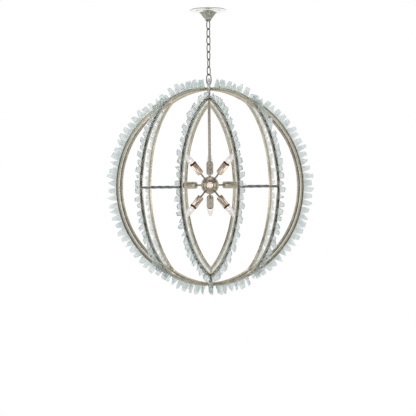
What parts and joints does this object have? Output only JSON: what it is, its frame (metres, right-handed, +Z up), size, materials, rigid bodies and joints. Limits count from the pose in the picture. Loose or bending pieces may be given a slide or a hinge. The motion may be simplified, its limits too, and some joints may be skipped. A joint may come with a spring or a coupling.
{
  "type": "orb chandelier",
  "caption": "Orb chandelier with pointed-oval metal frames edged in upright glass chips, hung on a link chain, with candle lamps in cups round a central ball.",
  "frame": {"origin": "ceiling plane, midway between the two slots of the ceiling strap", "axes": "+Z up, out of the ceiling side of the strap; front, the side in the picture, toward -Y; +X to the right"},
  "size_m": [0.8902, 0.8673, 1.2451],
  "materials": {
    "bracket_steel": "zinc plated",
    "nipple_brass": "plain",
    "hardware_metal": "antiqued silver",
    "frame_metal": "antiqued silver leaf",
    "rod_iron": "dark iron, twisted",
    "chip_glass": "clear, broken edges",
    "cup_copper": "champagne copper",
    "holder_plastic": "black",
    "cap_metal": "bright",
    "lamp_glass": "clear"
  },
  "bodies": {
    "ceiling_mount": {"ceiling_strap": "bracket_steel", "nipple": "nipple_brass", "locknut": "bracket_steel", "canopy_loop": "hardware_metal"},
    "canopy_plate": {"canopy": "hardware_metal"},
    "collar": {"canopy_collar": "hardware_metal"},
    "link_1": {"chain_link_1": "hardware_metal"},
    "link_2": {"chain_link_2": "hardware_metal"},
    "link_3": {"chain_link_3": "hardware_metal"},
    "link_4": {"chain_link_4": "hardware_metal"},
    "link_5": {"chain_link_5": "hardware_metal"},
    "link_6": {"chain_link_6": "hardware_metal"},
    "big_link": {"hanging_link": "hardware_metal"},
    "orb": {"orb_eye": "hardware_metal", "pole_boss_top": "frame_metal", "pole_boss_bottom": "frame_metal", "leaf_1_bar_left": "frame_metal", "leaf_1_bar_right": "frame_metal", "leaf_1_glass": "chip_glass", "leaf_2_bar_left": "frame_metal", "leaf_2_bar_right": "frame_metal", "leaf_2_glass": "chip_glass", "leaf_3_bar_left": "frame_metal", "leaf_3_bar_right": "frame_metal", "leaf_3_glass": "chip_glass", "leaf_4_bar_left": "frame_metal", "leaf_4_bar_right": "frame_metal", "leaf_4_glass": "chip_glass", "leaf_5_bar_left": "frame_metal", "leaf_5_bar_right": "frame_metal", "leaf_5_glass": "chip_glass", "leaf_6_bar_left": "frame_metal", "leaf_6_bar_right": "frame_metal", "leaf_6_glass": "chip_glass", "polar_bars_top": "frame_metal", "polar_bars_bottom": "frame_metal", "equator_rods": "rod_iron", "stem": "hardware_metal", "ball": "hardware_metal", "lamp_arms": "hardware_metal", "lamp_cups": "cup_copper", "lamp_holders": "holder_plastic"},
    "lamp_upper_1": {"lamp_cap_upper_1": "cap_metal", "lamp_glass_upper_1": "lamp_glass"},
    "lamp_upper_2": {"lamp_cap_upper_2": "cap_metal", "lamp_glass_upper_2": "lamp_glass"},
    "lamp_upper_3": {"lamp_cap_upper_3": "cap_metal", "lamp_glass_upper_3": "lamp_glass"},
    "lamp_middle_1": {"lamp_cap_middle_1": "cap_metal", "lamp_glass_middle_1": "lamp_glass"},
    "lamp_middle_2": {"lamp_cap_middle_2": "cap_metal", "lamp_glass_middle_2": "lamp_glass"},
    "lamp_middle_3": {"lamp_cap_middle_3": "cap_metal", "lamp_glass_middle_3": "lamp_glass"},
    "lamp_lower_1": {"lamp_cap_lower_1": "cap_metal", "lamp_glass_lower_1": "lamp_glass"},
    "lamp_lower_2": {"lamp_cap_lower_2": "cap_metal", "lamp_glass_lower_2": "lamp_glass"},
    "lamp_lower_3": {"lamp_cap_lower_3": "cap_metal", "lamp_glass_lower_3": "lamp_glass"}
  },
  "joints": [
    {"name": "canopy_drop", "type": "slide", "parent": "ceiling_mount", "child": "canopy_plate", "axis": [0, 0, -1], "range_m": [0, 0.03]},
    {"name": "collar_drop", "type": "slide", "parent": "ceiling_mount", "child": "collar", "axis": [0, 0, -1], "range_m": [0, 0.03]},
    {"name": "hang_1", "type": "hinge", "parent": "ceiling_mount", "child": "link_1", "pos_m": [0, 0, -0.086], "axis": [0.8192, 0.5736, 0], "range_deg": [-8, 8]},
    {"name": "hang_2", "type": "hinge", "parent": "link_1", "child": "link_2", "pos_m": [0, 0, -0.1192], "axis": [0.6691, -0.7431, 0], "range_deg": [-8, 8]},
    {"name": "hang_3", "type": "hinge", "parent": "link_2", "child": "link_3", "pos_m": [0, 0, -0.1524], "axis": [0.766, 0.6428, 0], "range_deg": [-8, 8]},
    {"name": "hang_4", "type": "hinge", "parent": "link_3", "child": "link_4", "pos_m": [0, 0, -0.1856], "axis": [0.7193, -0.6947, 0], "range_deg": [-8, 8]},
    {"name": "hang_5", "type": "hinge", "parent": "link_4", "child": "link_5", "pos_m": [0, 0, -0.2188], "axis": [0.6428, 0.766, 0], "range_deg": [-8, 8]},
    {"name": "hang_6", "type": "hinge", "parent": "link_5", "child": "link_6", "pos_m": [0, 0, -0.252], "axis": [0.4384, -0.8988, 0], "range_deg": [-8, 8]},
    {"name": "hang_7", "type": "hinge", "parent": "link_6", "child": "big_link", "pos_m": [0, 0, -0.2852], "axis": [0.7193, 0.6947, 0], "range_deg": [-8, 8]},
    {"name": "orb_swing", "type": "hinge", "parent": "big_link", "child": "orb", "pos_m": [0, 0, -0.3284], "axis": [0.9511, -0.309, 0], "range_deg": [-15, 15]},
    {"name": "lamp_upper_1_out", "type": "slide", "parent": "orb", "child": "lamp_upper_1", "axis": [0.5795, -0.3346, 0.7431], "range_m": [0, 0.03]},
    {"name": "lamp_upper_2_out", "type": "slide", "parent": "orb", "child": "lamp_upper_2", "axis": [0, 0.6691, 0.7431], "range_m": [0, 0.03]},
    {"name": "lamp_upper_3_out", "type": "slide", "parent": "orb", "child": "lamp_upper_3", "axis": [-0.5795, -0.3346, 0.7431], "range_m": [0, 0.03]},
    {"name": "lamp_middle_1_out", "type": "slide", "parent": "orb", "child": "lamp_middle_1", "axis": [0, -1, 0], "range_m": [0, 0.03]},
    {"name": "lamp_middle_2_out", "type": "slide", "parent": "orb", "child": "lamp_middle_2", "axis": [0.866, 0.5, 0], "range_m": [0, 0.03]},
    {"name": "lamp_middle_3_out", "type": "slide", "parent": "orb", "child": "lamp_middle_3", "axis": [-0.866, 0.5, 0], "range_m": [0, 0.03]},
    {"name": "lamp_lower_1_out", "type": "slide", "parent": "orb", "child": "lamp_lower_1", "axis": [0.5795, -0.3346, -0.7431], "range_m": [0, 0.03]},
    {"name": "lamp_lower_2_out", "type": "slide", "parent": "orb", "child": "lamp_lower_2", "axis": [0, 0.6691, -0.7431], "range_m": [0, 0.03]},
    {"name": "lamp_lower_3_out", "type": "slide", "parent": "orb", "child": "lamp_lower_3", "axis": [-0.5795, -0.3346, -0.7431], "range_m": [0, 0.03]}
  ],
  "couplings": [
    {"joint": "collar_drop", "follows": "canopy_drop", "ratio": 1}
  ]
}
